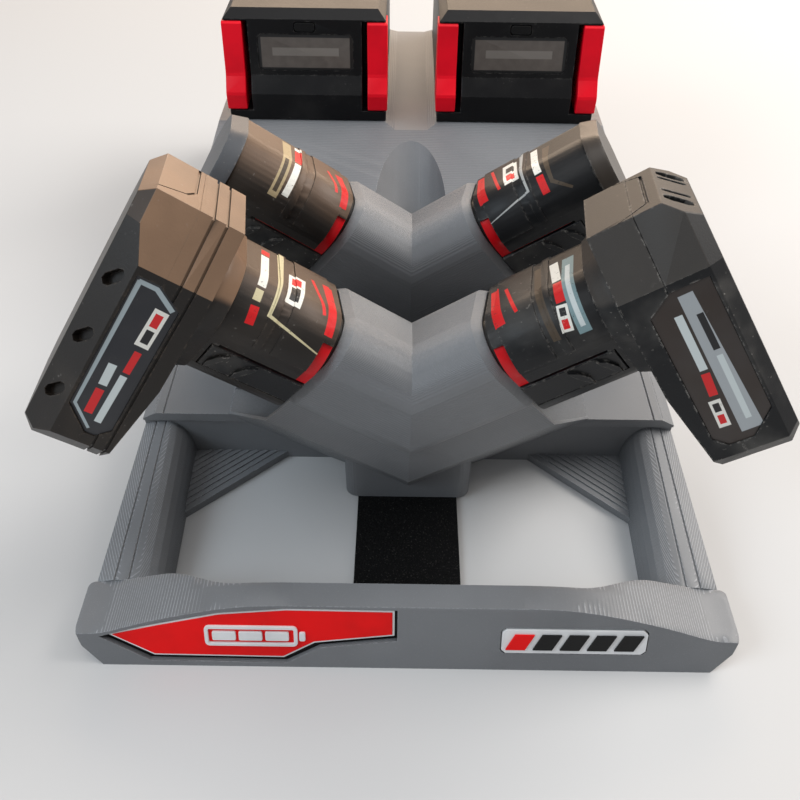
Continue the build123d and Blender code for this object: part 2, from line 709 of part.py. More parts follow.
def stem_pack(row):
    """Pieces shared by the short and the long stem packs of one row."""
    frame = pack_frame(rows[row])
    pieces = {}
    stem_base = SOCKET_FLOOR + SOCKET_CLEARANCE
    stem = extrude(Pos(0, 0, stem_base) * trefoil(STEM_LOBE), SHELL_START - stem_base)
    pieces["stem"] = frame * single(stem)
    notch = Pos(0, (COLLAR_LINE + slot_line) / 2, SHELL_START + COLLAR_THICK / 2)
    notch = notch * Box(body_reach * 2, COLLAR_LINE - slot_line, COLLAR_THICK)
    collar = extrude(Pos(0, -SHELL_DROP, SHELL_START) * trefoil(COLLAR_LOBE), COLLAR_THICK) & notch
    length = SHELL_LONG if row == "front" else SHELL_SHORT
    shell = extrude(Pos(0, -SHELL_DROP, SHELL_START) * trefoil(SHELL_LOBE), length)
    pad = SHELL_START + PAD_START
    band = pad + PAD_LENGTH + BAND_GAP
    shell += raised(pad, PAD_LENGTH)
    shell += raised(band, BAND_LENGTH)
    shell -= notch
    for name, (angle, up) in tab_turns.items():
        turn = Pos(0, -SHELL_DROP, 0) * Rot(0, 0, angle)
        middle = Pos(tab_inner + TAB_THICK / 2, -up * TAB_SHIFT, SHELL_START + TAB_LENGTH / 2)
        pieces["tab_" + name] = frame * turn * middle * release_tab()
        low = -up * (TAB_WIDTH / 2 + TAB_SHIFT + BUTTON_CLEARANCE)
        edge = up * (tab_top + BUTTON_CLEARANCE)
        high = up * (tab_top + TAB_SLOT)
        well_end = TAB_LENGTH + BUTTON_CLEARANCE
        well_x = well_floor + body_reach / 2
        tab_well = Box(body_reach, abs(edge - low), well_end * 2)
        collar -= turn * Pos(well_x, (low + edge) / 2, SHELL_START) * tab_well
        shell -= turn * Pos(well_x, (low + edge) / 2, SHELL_START) * tab_well
        slot_length = PRONG_LENGTH + TAB_SLOT
        slot = Box(body_reach, TAB_SLOT, slot_length)
        shell -= turn * Pos(well_x, high - up * TAB_SLOT / 2, COLLAR_END + slot_length / 2) * slot
        prong = Box(PRONG_HEIGHT, PRONG_WIDTH, PRONG_LENGTH + 1)
        prong_y = high - up * PRONG_WIDTH / 2
        collar += turn * Pos(well_floor + PRONG_HEIGHT / 2, prong_y, COLLAR_END + (PRONG_LENGTH - 1) / 2) * prong
    pieces["collar"] = frame * single(collar)
    pieces["shell"] = frame * single(shell)
    return frame, pieces


frame, pieces = stem_pack("rear")
cap_start = SHELL_START + SHELL_SHORT
cap = Pos(0, -SHELL_DROP, cap_start) * narrowed(SHELL_LOBE + PAD_PROUD, CAP_THICK, CAP_INSET)
pieces["end_cap"] = frame * single(cap)
for name, shape in pieces.items():
    parts["rear_right_" + name] = shape
    parts["rear_left_" + name] = flip(shape)

# Cell bricks close the front packs: an inner half with a flared boss, and an outer half.
frame, pieces = stem_pack("front")
brick_start = SHELL_START + SHELL_LONG + BOSS_DEPTH
brick_split = brick_start + BRICK_INNER
brick_end = brick_split + BRICK_OUTER
wide = BRICK_WIDTH / 2
crown = BRICK_CROWN / 2
haunch = BRICK_UP * 0.3
brick_face = outline(
    [
        (-wide, haunch),
        (-crown, BRICK_UP),
        (crown, BRICK_UP),
        (wide, haunch),
        (wide, -BRICK_DOWN + BRICK_FOOT),
        (wide - BRICK_FOOT, -BRICK_DOWN),
        (-wide + BRICK_FOOT, -BRICK_DOWN),
        (-wide, -BRICK_DOWN + BRICK_FOOT),
    ]
)
side_plane = Plane(origin=(-body_reach, 0, 0), x_dir=(0, 1, 0), z_dir=(1, 0, 0))
top_plane = Plane(origin=(0, BRICK_UP - SEAM_WIDTH, 0), x_dir=(1, 0, 0), z_dir=(0, -1, 0))
inner_half = extrude(Pos(0, 0, brick_start) * brick_face, BRICK_INNER)
taper_from = -SHELL_LOBE - LOBE_OFFSET - SHELL_DROP
taper_face = outline(
    [(taper_from, brick_start), (-BRICK_DOWN - 1, brick_start), (-BRICK_DOWN - 1, brick_start + BRICK_TAPER)]
)
inner_half -= extrude(side_plane * taper_face, body_reach * 2)
boss = narrowed(SHELL_LOBE + PAD_PROUD + BOSS_FLARE, BOSS_DEPTH, BOSS_FLARE)
inner_half += Pos(0, -SHELL_DROP, brick_start) * mirror(boss, about=Plane.XY)
outer_half = extrude(Pos(0, 0, brick_split) * brick_face, BRICK_OUTER)
outer_half = chamfer(outer_half.faces().sort_by(Axis.Z)[-1].edges(), BRICK_EDGE)


def seam_line(points):
    """Engraved line across the top end of a brick, through points given along X and Z."""
    above = [(x, z + SEAM_WIDTH / 2) for x, z in points]
    below = [(x, z - SEAM_WIDTH / 2) for x, z in points]
    return extrude(top_plane * outline(above + below[::-1]), -SEAM_WIDTH * 2)


def vent_face(length, width):
    """Slot outline with eased ends, long way up."""
    reach = length / 2
    half = width / 2
    right = [(half / 2, -reach), (half, half - reach), (half, reach - half), (half / 2, reach)]
    return outline(right + [(-x, y) for x, y in reversed(right)])


def label_panel(high):
    """Sunk field for the label on the front side of a brick, up to a height along the tube."""
    low = brick_start + BRICK_TAPER + LABEL_SINK * 3
    face = outline(
        [
            (haunch - BRICK_FOOT, low),
            (haunch - BRICK_FOOT / 3, low + BRICK_FOOT),
            (haunch - BRICK_FOOT / 3, high),
            (-BRICK_DOWN + BRICK_FOOT * 2.5, high),
            (-BRICK_DOWN + BRICK_FOOT * 1.5, high - BRICK_FOOT),
            (-BRICK_DOWN + BRICK_FOOT * 1.5, low + BRICK_FOOT / 2),
            (-BRICK_DOWN + BRICK_FOOT * 2, low),
        ]
    )
    floor = Plane(origin=(-wide + LABEL_THICK + LABEL_SINK, 0, 0), x_dir=(0, 1, 0), z_dir=(1, 0, 0))
    return extrude(floor * face, -wide), extrude(floor * face, -LABEL_THICK)


# The right brick has a broad bevel with vents along its top end and a stepped seam.
vented = outer_half
top_bevel = outline(
    [(BRICK_UP - BRICK_BEVEL, brick_end), (BRICK_UP, brick_end - BRICK_BEVEL), (BRICK_UP, brick_end)]
)
vented -= extrude(side_plane * top_bevel, body_reach * 2)
bevel_mid = BRICK_BEVEL / 2
for share, width in ((0.74, VENT_WIDTH), (0.48, VENT_NARROW), (-0.2, VENT_NARROW), (-0.56, VENT_WIDTH)):
    place = Pos(share * crown, BRICK_UP - bevel_mid, brick_end - bevel_mid) * Rot(-45, 0, 0)
    vented -= place * Pos(0, 0, -VENT_DEPTH) * extrude(vent_face(VENT_LENGTH, width), VENT_DEPTH * 3)
seam_low = brick_split - BRICK_INNER * 0.3
seam_high = brick_split + BRICK_OUTER * 0.28
seam = seam_line(
    [(crown, seam_low), (crown * 0.76, seam_high), (-crown * 0.7, seam_high), (-crown, seam_low)]
)
panel_cut, right_label = label_panel(brick_end - BRICK_EDGE - LABEL_SINK * 2)
parts["front_right_brick_inner"] = frame * single(inner_half - seam - panel_cut)
parts["front_right_brick_outer"] = frame * single(vented - seam - panel_cut)
parts["front_right_label"] = frame * single(right_label)

# The left brick has a broad bevel with slanted drain slots along its front side and two seam grooves.
drained = outer_half
side_bevel = outline([(-wide, brick_end - BRICK_BEVEL), (BRICK_BEVEL - wide, brick_end), (-wide, brick_end)])
bevel_plane = Plane(origin=(0, body_reach, 0), x_dir=(1, 0, 0), z_dir=(0, -1, 0))
drained -= extrude(bevel_plane * side_bevel, body_reach * 3)
for step in range(3):
    place = Pos(bevel_mid - wide, -step * DRAIN_PITCH, brick_end - bevel_mid) * Rot(0, -45, 0)
    slot = Rot(0, 0, 40) * vent_face(VENT_LENGTH, VENT_WIDTH * 0.8)
    drained -= place * Pos(0, 0, -VENT_DEPTH) * extrude(slot, VENT_DEPTH * 3)
ribbed = inner_half
ring = brick_face - offset(brick_face, -SEAM_WIDTH, kind=Kind.INTERSECTION)
for share in (0.36, 0.66):
    ribbed -= extrude(Pos(0, 0, brick_start + share * BRICK_INNER) * ring, SEAM_WIDTH)
line_z = brick_split + BRICK_OUTER * 0.12
line_end = brick_end - BRICK_EDGE
left_line = seam_line(
    [(crown, line_z), (-crown * 0.3, line_z), (-crown * 0.55, line_z + 2.5), (-crown * 0.8, line_end)]
)
panel_cut, left_label = label_panel(brick_end - BRICK_BEVEL - LABEL_SINK * 2)
parts["front_left_brick_inner"] = flip(frame * single(ribbed - panel_cut))
parts["front_left_brick_outer"] = flip(frame * single(drained - left_line - panel_cut))
parts["front_left_label"] = flip(frame * single(left_label))
for name, shape in pieces.items():
    parts["front_right_" + name] = shape
    parts["front_left_" + name] = flip(shape)

# Rail packs: a channelled lower half, a raked upper half and a squeeze key at each front corner.
x0 = PACK_CENTRE - PACK_WIDTH / 2
x1 = PACK_CENTRE + PACK_WIDTH / 2
bevel_top = PACK_FRONT + PACK_BEVEL_RUN
face_top = bevel_top + PACK_RAKE
lower = along_x(
    [
        (PACK_FRONT, PACK_BOTTOM),
        (PACK_FRONT, PACK_BOTTOM + PACK_BAND),
        (bevel_top, PACK_SPLIT),
        (LENGTH, PACK_SPLIT),
        (LENGTH, PACK_BOTTOM),
    ],
    x0,
    x1,
)
upper = along_x(
    [(bevel_top, PACK_SPLIT), (face_top, PACK_TOP), (LENGTH, PACK_TOP), (LENGTH, PACK_SPLIT)], x0, x1
)
lower = chamfer(lower.edges().filter_by(Axis.Z).group_by(Axis.Y)[-1], PACK_CORNER)
upper = chamfer(upper.edges().filter_by(Axis.Z).group_by(Axis.Y)[-1], PACK_CORNER)
upper = chamfer(upper.faces().sort_by(Axis.Z)[-1].edges(), PACK_TOP_EDGE)

channel_front = shoe_front - CHANNEL_LEAD
neck_gap = neck_half + SLIDE_CLEARANCE
head_gap = head_half + SLIDE_CLEARANCE
lip_top = neck_top - REST_CLEARANCE
channel_top = shoe_top + SLIDE_CLEARANCE
lower -= span(PACK_CENTRE - neck_gap, PACK_CENTRE + neck_gap, channel_front, LENGTH + 1, DECK_HEIGHT, lip_top)
lower -= span(PACK_CENTRE - head_gap, PACK_CENTRE + head_gap, channel_front, LENGTH + 1, lip_top, channel_top)
terminal_half = TERMINAL_WIDTH / 2
terminal_back = channel_front + TERMINAL_LENGTH
terminal_floor = lip_top + 1
terminals = span(
    PACK_CENTRE - terminal_half,
    PACK_CENTRE + terminal_half,
    channel_front,
    terminal_back,
    terminal_floor,
    channel_top,
)
for step in (-1, 0, 1):
    contact_x = PACK_CENTRE + step * CONTACT_PITCH
    contact_half = CONTACT_WIDTH / 2
    terminals -= span(
        contact_x - contact_half,
        contact_x + contact_half,
        channel_front + CONTACT_WIDTH,
        terminal_back,
        terminal_floor,
        channel_top - 1.5,
    )
parts["right_rail_terminals"] = single(terminals)

key_bottom = PACK_BOTTOM + KEY_FOOT
key_top = PACK_TOP - KEY_HEAD


def key_outline(grow):
    """Side view of a squeeze key, following the front of the pack."""
    lead = KEY_PROUD
    slope = PACK_RAKE / PACK_UPPER
    top_y = bevel_top + (key_top - PACK_SPLIT) * slope
    rear = PACK_FRONT + KEY_DEPTH + grow
    if grow > 0:
        clear_front = PACK_FRONT - KEY_DEPTH
        return [
            (clear_front, key_bottom - grow),
            (clear_front, key_top + grow),
            (rear, key_top + grow),
            (rear, key_bottom - grow),
        ]
    return [
        (PACK_FRONT - lead, key_bottom),
        (PACK_FRONT - lead, PACK_BOTTOM + PACK_BAND + lead * 0.4),
        (bevel_top - lead, PACK_SPLIT + lead * 0.4),
        (top_y - lead, key_top),
        (rear, key_top),
        (rear, key_bottom),
    ]


for name, edge, inward in (("inner", x0, 1), ("outer", x1, -1)):
    outside = edge - inward * KEY_PROUD
    inside = edge + inward * KEY_WIDTH
    key = along_x(key_outline(0), min(outside, inside), max(outside, inside))
    key = single(chamfer(key.edges().filter_by(Axis.X), 0.8))
    parts["right_rail_key_" + name] = key
    stop = inside + inward * (KEY_TRAVEL + BUTTON_CLEARANCE)
    pocket_out = edge - inward * KEY_WIDTH
    pocket = along_x(key_outline(BUTTON_CLEARANCE), min(pocket_out, stop), max(pocket_out, stop))
    lower -= pocket
    upper -= pocket

rake_length = hypot(PACK_RAKE, PACK_UPPER)
rake_plane = Plane(
    origin=(PACK_CENTRE, front(bevel_top), PACK_SPLIT),
    x_dir=(1, 0, 0),
    z_dir=(0, -PACK_UPPER / rake_length, PACK_RAKE / rake_length),
)
label_width = PACK_WIDTH - 2 * (KEY_WIDTH + KEY_TRAVEL + PACK_CORNER)
label_face = Pos(0, rake_length * 0.36) * clipped(label_width, rake_length * 0.56, GAUGE_CORNER * 2)
label_floor = rake_plane.offset(-LABEL_THICK - LABEL_SINK)
upper -= extrude(label_floor * label_face, LABEL_THICK + PACK_RAKE)
parts["right_rail_label"] = single(extrude(label_floor * label_face, LABEL_THICK))
gauge_spot = Pos(0, rake_length * 0.755)
gauge_sink = GAUGE_THICK - GAUGE_PROUD
gauge_face = gauge_spot * clipped(GAUGE_WIDTH, GAUGE_HEIGHT, GAUGE_CORNER)
gauge_room = 2 * BUTTON_CLEARANCE
gauge_well = gauge_spot * clipped(GAUGE_WIDTH + gauge_room, GAUGE_HEIGHT + gauge_room, GAUGE_CORNER)
well_depth = gauge_sink + GAUGE_TRAVEL + BUTTON_CLEARANCE
upper -= extrude(rake_plane.offset(-well_depth) * gauge_well, well_depth + PACK_RAKE)
parts["right_rail_gauge_button"] = single(extrude(rake_plane.offset(-gauge_sink) * gauge_face, GAUGE_THICK))
parts["right_rail_lower"] = single(lower)
parts["right_rail_upper"] = single(upper)
for name in ("lower", "upper", "terminals", "key_inner", "key_outer", "label", "gauge_button"):
    parts["left_rail_" + name] = flip(parts["right_rail_" + name])

os.makedirs("parts", exist_ok=True)
for name, shape in parts.items():
    export_step(shape, "parts/" + name + ".step")
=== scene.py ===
from math import cos, hypot, radians, sin

import bmesh
import bpy
from mathutils import Matrix, Vector


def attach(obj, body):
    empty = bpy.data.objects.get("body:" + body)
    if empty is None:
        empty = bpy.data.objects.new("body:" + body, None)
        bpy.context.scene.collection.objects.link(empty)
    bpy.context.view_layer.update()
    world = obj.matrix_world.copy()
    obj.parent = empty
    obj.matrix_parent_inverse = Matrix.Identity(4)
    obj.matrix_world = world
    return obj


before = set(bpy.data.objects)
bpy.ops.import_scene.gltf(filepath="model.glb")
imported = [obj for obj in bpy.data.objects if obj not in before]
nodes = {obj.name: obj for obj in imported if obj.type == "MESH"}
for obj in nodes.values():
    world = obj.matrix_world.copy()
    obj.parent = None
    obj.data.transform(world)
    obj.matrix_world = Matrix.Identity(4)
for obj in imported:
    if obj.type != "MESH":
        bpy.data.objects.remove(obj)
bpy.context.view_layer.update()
MM = 0.001
FULL_TURN = 6.28318

# Softness of the edge of a printed line, in millimetres.
PRINT_EASE = 0.08


class Shade:
    """A shader socket that takes part in Python expressions."""

    def __init__(self, tree, socket):
        self.tree = tree
        self.socket = socket

    def math(self, operation, *others):
        return maths(self.tree, operation, self, *others)

    def __add__(self, other):
        return self.math("ADD", other)

    def __radd__(self, other):
        return self.math("ADD", other)

    def __sub__(self, other):
        return self.math("SUBTRACT", other)

    def __rsub__(self, other):
        return maths(self.tree, "SUBTRACT", other, self)

    def __mul__(self, other):
        return self.math("MULTIPLY", other)

    def __rmul__(self, other):
        return self.math("MULTIPLY", other)

    def __truediv__(self, other):
        return self.math("DIVIDE", other)

    def larger(self, other):
        return self.math("MAXIMUM", other)

    def smaller(self, other):
        return self.math("MINIMUM", other)


def maths(tree, operation, *values):
    """One Math node on shades and plain numbers."""
    node = tree.nodes.new("ShaderNodeMath")
    node.operation = operation
    for place, value in zip(node.inputs, values):
        plug(tree, place, value)
    return Shade(tree, node.outputs[0])


def plug(tree, place, value):
    """Links a shade to a socket, or sets the socket to a plain value."""
    if isinstance(value, Shade):
        tree.links.new(value.socket, place)
    else:
        place.default_value = value


class Finish:
    """One material: its node tree, its surface shader and the nodes added to it."""

    def __init__(self, name):
        self.material = bpy.data.materials.new(name)
        self.material.use_nodes = True
        self.tree = self.material.node_tree
        self.shader = self.tree.nodes["Principled BSDF"]
        self.place = self.node("ShaderNodeTexCoord", out="Object")

    def node(self, kind, settings=None, inputs=None, out=0):
        made = self.tree.nodes.new(kind)
        for name, value in (settings or {}).items():
            setattr(made, name, value)
        for name, value in (inputs or {}).items():
            plug(self.tree, made.inputs[name], value)
        return Shade(self.tree, made.outputs[out])

    def set(self, name, value):
        plug(self.tree, self.shader.inputs[name], value)

    def noise(self, scale, detail=2.0, rough=0.5):
        inputs = {"Vector": self.place, "Scale": scale, "Detail": detail, "Roughness": rough}
        return self.node("ShaderNodeTexNoise", inputs=inputs)

    def axis(self, name):
        return self.node("ShaderNodeSeparateXYZ", inputs={"Vector": self.place}, out=name)

    def dot(self, first, second):
        inputs = {0: first, 1: second}
        return self.node("ShaderNodeVectorMath", {"operation": "DOT_PRODUCT"}, inputs, out="Value")

    def step(self, value, low, high, start=0.0, end=1.0):
        """Eased step of a value from one level to another."""
        return self.node(
            "ShaderNodeMapRange",
            {"interpolation_type": "SMOOTHSTEP"},
            {"Value": value, "From Min": low, "From Max": high, "To Min": start, "To Max": end},
        )

    def along(self, direction, start):
        """Distance in millimetres along a direction from a point, which is given in millimetres."""
        return self.dot(self.place, direction / MM) - start.dot(direction)

    def facing(self, direction):
        """How far the surface faces a direction."""
        normal = self.node("ShaderNodeNewGeometry", out="Normal")
        return self.dot(normal, direction)

    def edges(self, radius):
        """One along the sharp edges of the piece, fading out over a radius."""
        normal = self.node("ShaderNodeNewGeometry", out="Normal")
        eased = self.node("ShaderNodeBevel", {"samples": 4}, {"Radius": radius}, out="Normal")
        return self.step(self.dot(normal, eased), 0.86, 0.99, 1.0, 0.0)

    def crevice(self, distance):
        """One where the piece is open, falling towards zero deep in its own hollows: the mask for painted
        shade.
        """
        settings = {"samples": 6, "only_local": True}
        return self.node("ShaderNodeAmbientOcclusion", settings, {"Distance": distance}, out="AO")

    def stroke(self, across, along, points, start_half, end_half):
        """Printed line through points, its half width going evenly from one end to the other."""
        lengths = []
        for first, second in zip(points, points[1:]):
            lengths.append(hypot(second[0] - first[0], second[1] - first[1]))
        total = sum(lengths)
        taper = (end_half - start_half) / total
        lap = 0.35 * start_half
        done = 0.0
        line = None
        for first, second, length in zip(points, points[1:], lengths):
            run = ((second[0] - first[0]) / length, (second[1] - first[1]) / length)
            reach = (across - first[0]) * run[0] + (along - first[1]) * run[1]
            aside = ((along - first[1]) * run[0] - (across - first[0]) * run[1]).math("ABSOLUTE")
            half = reach * taper + (start_half + taper * done)
            body = self.step(half - aside, -PRINT_EASE, PRINT_EASE)
            lap_start = lap if done > 0 else 0.0
            done += length
            lap_end = lap if done < total - 0.01 else 0.0
            rise = self.step(reach, -lap_start - PRINT_EASE, -lap_start + PRINT_EASE)
            end = length + lap_end
            fall = self.step(reach, end - PRINT_EASE, end + PRINT_EASE, 1.0, 0.0)
            part = body * rise * fall
            line = part if line is None else line.larger(part)
        return line

    def mix(self, share, first, second):
        return self.node(
            "ShaderNodeMix", {"data_type": "RGBA"}, {"Factor": share, 6: first, 7: second}, out=2
        )

    def relief(self, height, depth, strength=1.0, under=None):
        """Bump of a height map, depth in metres, laid over another bump if one is given."""
        inputs = {"Height": height, "Distance": depth, "Strength": strength}
        if under is not None:
            inputs["Normal"] = under
        return self.node("ShaderNodeBump", inputs=inputs)


def linear(red, green, blue):
    """Scene colour of a screen colour given in 0 to 255."""
    levels = []
    for level in (red, green, blue):
        share = level / 255
        levels.append(share / 12.92 if share <= 0.04045 else ((share + 0.055) / 1.055) ** 2.4)
    return (*levels, 1.0)


UP = Vector((0.0, 0.0, 1.0))
BACK = Vector((0.0, 1.0, 0.0))

# The stem packs: tilt and roll of their axes, height of the axes and place of each row, in millimetres.
TILT = radians(34.0)
ROLL = radians(17.0)
AXIS_HEIGHT = 67.5
ROW_PLACE = {"front": -125.7, "rear": -56.2}
LOBE = 13.9
LOBE_SIDE = 9.44
LOBE_RISE = 3.45

# Height of the flat middle of the bar, in metres.
BAR_TOP = 27.0 * MM


def pack_axes(row, side):
    """Origin of one stem pack, and its axes: across to the back, up, and out along the tube."""
    hand = 1.0 if side == "right" else -1.0
    rise = Vector((-hand * sin(TILT), 0.0, cos(TILT)))
    out = Vector((hand * cos(TILT), 0.0, sin(TILT)))
    start = BACK * ROW_PLACE[row] + rise * AXIS_HEIGHT
    across = BACK * cos(ROLL) - rise * sin(ROLL)
    up = BACK * sin(ROLL) + rise * cos(ROLL)
    return start, across, up, out


def printed_grey(name, layer_axis, layer_height=0.28 * MM, contour=0.7, flat_top=None):
    """Grey filament print: layer lines along one axis, contours on slopes, and painted light: highlights
    on the contours of faces turned up and on dotted rims, glints as lighter specks, and shade in its own
    hollows.
    """
    paint = Finish(name)
    upward = paint.facing(UP)
    sloped = paint.step(upward, 0.974, 0.988, 1.0, 0.0) if layer_axis == "Z" else 1.0
    wobble = paint.noise(60.0, 3.0)
    level = paint.axis(layer_axis)
    phase = ((level + wobble * 0.00006) / layer_height).math("FRACT")
    if flat_top is not None:
        sloped = sloped * paint.step(level, flat_top - 0.9 * MM, flat_top - 0.4 * MM, 1.0, 0.0)
    ridge = (phase * FULL_TURN).math("SINE") * sloped
    speck = paint.noise(2600.0, 2.0, 0.6)
    bead = paint.noise(900.0, 2.0, 0.5)
    # Painted glint: lighter specks in the colour stand for glints on the print; their lower roughness is
    # real.
    painted_glint = paint.step(speck, 0.60, 0.74)
    mottle = paint.noise(18.0, 3.0, 0.5)
    base = paint.mix(paint.step(mottle, 0.25, 0.75), linear(109, 111, 114), linear(121, 123, 126))
    # Painted highlight: the layer lines are lighter only on faces turned up, as where light from above
    # catches them.
    top = paint.step(upward, 0.55, 0.9)
    line = paint.step(ridge, 0.35, 0.95) * paint.step(bead, 0.30, 0.62, 0.55, 1.0) * top
    with_ridge_highlights = paint.mix(line * contour, base, linear(162, 164, 167))
    # Painted highlight: sharp edges are lighter in dotted lines, as where light catches the rims.
    rim = paint.edges(0.45 * MM) * paint.step(bead, 0.40, 0.58)
    with_painted_edge_highlights = paint.mix(rim * 0.55, with_ridge_highlights, linear(184, 186, 188))
    with_painted_glints = paint.mix(painted_glint * 0.22, with_painted_edge_highlights, linear(168, 171, 174))
    # Painted shade: the colour darkens towards dark grey deep in the piece's own hollows and creases.
    deep = paint.step(paint.crevice(26.0 * MM), 0.10, 0.62)
    paint.set("Base Color", paint.mix(deep, linear(54, 55, 57), with_painted_glints))
    paint.set("Roughness", 0.44 - painted_glint * 0.12 + mottle * 0.05)
    grain = paint.relief(speck, 0.05 * MM, 0.4)
    paint.set("Normal", paint.relief(ridge + bead * 0.5, 0.06 * MM, 0.6, grain))
    return paint.material


def black_surface(paint, tone, dust, dust_tone, rough, grain_size, upper_dust_and_sheen=None):
    """Colour of a black moulding: fine grain, rubbed edges, lint, smears and, where given, a tone on its
    upper faces, which is dust on the right brick and a painted reflection of warm light on the left packs.
    """
    grain = paint.noise(1.0 / grain_size, 3.0, 0.62)
    cloud = paint.noise(26.0, 4.0, 0.6)
    lint = paint.step(paint.noise(620.0, 1.0), 0.70, 0.77) * paint.step(cloud, 0.46, 0.60)
    rubbed = paint.edges(1.1 * MM) * paint.step(paint.noise(520.0, 3.0, 0.7), 0.48, 0.64)
    smear = paint.step(cloud, 0.48, 0.74)
    body = paint.mix(smear * dust, tone, dust_tone)
    # Upper faces: the bronze tone is a painted reflection of warm light; the grey tone is dust.
    if upper_dust_and_sheen is not None:
        row, side, upper_dust_and_sheen_tone, share, low, high = upper_dust_and_sheen
        start, across, up, out = pack_axes(row, side)
        upper = paint.step(paint.facing(up), low, high) * paint.step(paint.along(up, start), 1.0, 7.0)
        body = paint.mix(upper * paint.step(cloud, 0.25, 0.75, 0.7, 1.0) * share, body, upper_dust_and_sheen_tone)
    lintier = paint.mix(lint * dust * 2.2, body, linear(150, 146, 140))
    worn = paint.mix(rubbed * (0.14 + dust * 2.4), lintier, dust_tone)
    paint.set("Roughness", rough + cloud * 0.12 + smear * (dust * 0.3))
    paint.set("Normal", paint.relief(grain, 0.09 * MM, 0.55))
    paint.shader.inputs["Specular IOR Level"].default_value = 0.3
    return worn


def moulded_black(name, tone, dust, dust_tone, rough=0.44, grain_size=0.7 * MM, upper_dust_and_sheen=None, gloss=0.3):
    """Plain black moulding without prints."""
    paint = Finish(name)
    paint.set("Base Color", black_surface(paint, tone, dust, dust_tone, rough, grain_size, upper_dust_and_sheen))
    paint.shader.inputs["Specular IOR Level"].default_value = gloss
    return paint.material


def printed_shell(name, row, side, tone, dust, dust_tone, prints, upper_dust_and_sheen=None):
    """Black shell with plain bars and stripes, laid out round it from the middle of its top flat."""
    paint = Finish(name)
    start, across, up, out = pack_axes(row, side)
    width = paint.along(across, start)
    height = paint.along(up, start)
    length = paint.along(out, start)
    flat = width.larger(-LOBE_SIDE).smaller(LOBE_SIDE)
    turn = (width - flat).math("ARCTAN2", height - LOBE_RISE)
    round_shell = flat + turn * LOBE
    colour = black_surface(paint, tone, dust, dust_tone, 0.42, 0.7 * MM, upper_dust_and_sheen)
    scuff = paint.step(paint.noise(900.0, 3.0, 0.7), 0.24, 0.42)
    for ink, points, start_half, end_half in prints:
        share = paint.stroke(length, round_shell, points, start_half, end_half) * scuff
        colour = paint.mix(share, colour, ink)
    paint.set("Base Color", colour)
    return paint.material


def brick_label(name, side, field, prints):
    """Smooth label on a brick with plain bars and a stripe, laid out along and up the brick."""
    paint = Finish(name)
    start, across, up, out = pack_axes("front", side)
    height = paint.along(up, start)
    length = paint.along(out, start)
    haze = paint.noise(60.0, 3.0)
    peel = paint.noise(500.0, 2.0)
    scratch = paint.step(paint.noise(340.0, 4.0, 0.7), 0.66, 0.74)
    colour = paint.mix(paint.step(haze, 0.35, 0.7) * 0.3, field, linear(64, 62, 62))
    for ink, points, start_half, end_half in prints:
        colour = paint.mix(paint.stroke(length, height, points, start_half, end_half), colour, ink)
    paint.set("Base Color", paint.mix(scratch * 0.25, colour, linear(110, 106, 102)))
    paint.set("Roughness", 0.30 + haze * 0.14 + scratch * 0.2)
    paint.set("Normal", paint.relief(peel, 0.02 * MM, 0.35))
    return paint.material


def rail_label(name, middle):
    """Satin bronze window on a slide-on pack, with a dark border and one plain bar."""
    paint = Finish(name)
    width = (paint.axis("X") / MM - middle).math("ABSOLUTE")
    height = paint.axis("Z") / MM
    brushed = paint.noise(240.0, 3.0)
    grain = paint.noise(1300.0, 2.0)
    inside = paint.step(width, 22.4, 22.8, 1.0, 0.0) * paint.step(height, 107.6, 107.9)
    inside = inside * paint.step(height, 121.8, 122.1, 1.0, 0.0)
    bar = paint.step(width, 16.8, 17.1, 1.0, 0.0) * paint.step(height, 113.2, 113.5)
    bar = bar * paint.step(height, 117.0, 117.3, 1.0, 0.0)
    field = paint.mix(brushed, linear(74, 68, 64), linear(98, 90, 84))
    barred = paint.mix(bar * 0.75, field, linear(120, 114, 108))
    paint.set("Base Color", paint.mix(inside, linear(20, 20, 21), barred))
    paint.set("Roughness", 0.24 + brushed * 0.16)
    paint.set("Normal", paint.relief(grain, 0.03 * MM, 0.4))
    paint.shader.inputs["Coat Weight"].default_value = 0.25
    return paint.material


def plain_gloss(name, colour, rough=0.3, coat=0.0, gloss=0.4):
    """Smooth plate: a trace of orange peel, finger haze and rubbed edges."""
    paint = Finish(name)
    haze = paint.noise(45.0, 3.0)
    peel = paint.noise(420.0, 2.0)
    deep = tuple(level * 0.84 for level in colour[:3]) + (1.0,)
    pale = tuple(level * 0.7 + 0.18 for level in colour[:3]) + (1.0,)
    hazed = paint.mix(paint.step(haze, 0.35, 0.7), deep, colour)
    paint.set("Base Color", paint.mix(paint.edges(0.25 * MM) * 0.2, hazed, pale))
    paint.set("Roughness", rough + haze * 0.12)
    paint.set("Normal", paint.relief(peel, 0.02 * MM, 0.35))
    paint.shader.inputs["Coat Weight"].default_value = coat
    paint.shader.inputs["Specular IOR Level"].default_value = gloss
    return paint.material


def loop_facing(name):
    """Black loop facing of the lock tongue: a coarse nap, with painted glints as lighter specks."""
    paint = Finish(name)
    tuft = paint.node("ShaderNodeTexVoronoi", inputs={"Vector": paint.place, "Scale": 900.0})
    nap = paint.noise(1400.0, 3.0, 0.7)
    # Painted glint: lighter specks in the nap's colour stand for light glinting off it.
    spark = paint.step(nap, 0.58, 0.70)
    paint.set("Base Color", paint.mix(spark, linear(5, 5, 6), linear(60, 58, 55)))
    paint.set("Roughness", 0.85 - spark * 0.3)
    paint.shader.inputs["Specular IOR Level"].default_value = 0.2
    paint.set("Normal", paint.relief(tuft + nap, 0.5 * MM, 0.9))
    return paint.material


RED = linear(206, 26, 30)
WHITE = linear(226, 224, 216)
INK = linear(26, 26, 28)
CREAM = linear(198, 188, 152)
SILVER = linear(168, 170, 168)
UMBER = linear(74, 63, 51)
MIST = linear(120, 144, 148)
SAND = linear(170, 152, 118)
PALE = linear(198, 206, 206)
STEEL = linear(160, 172, 176)
PEWTER = linear(160, 165, 168)

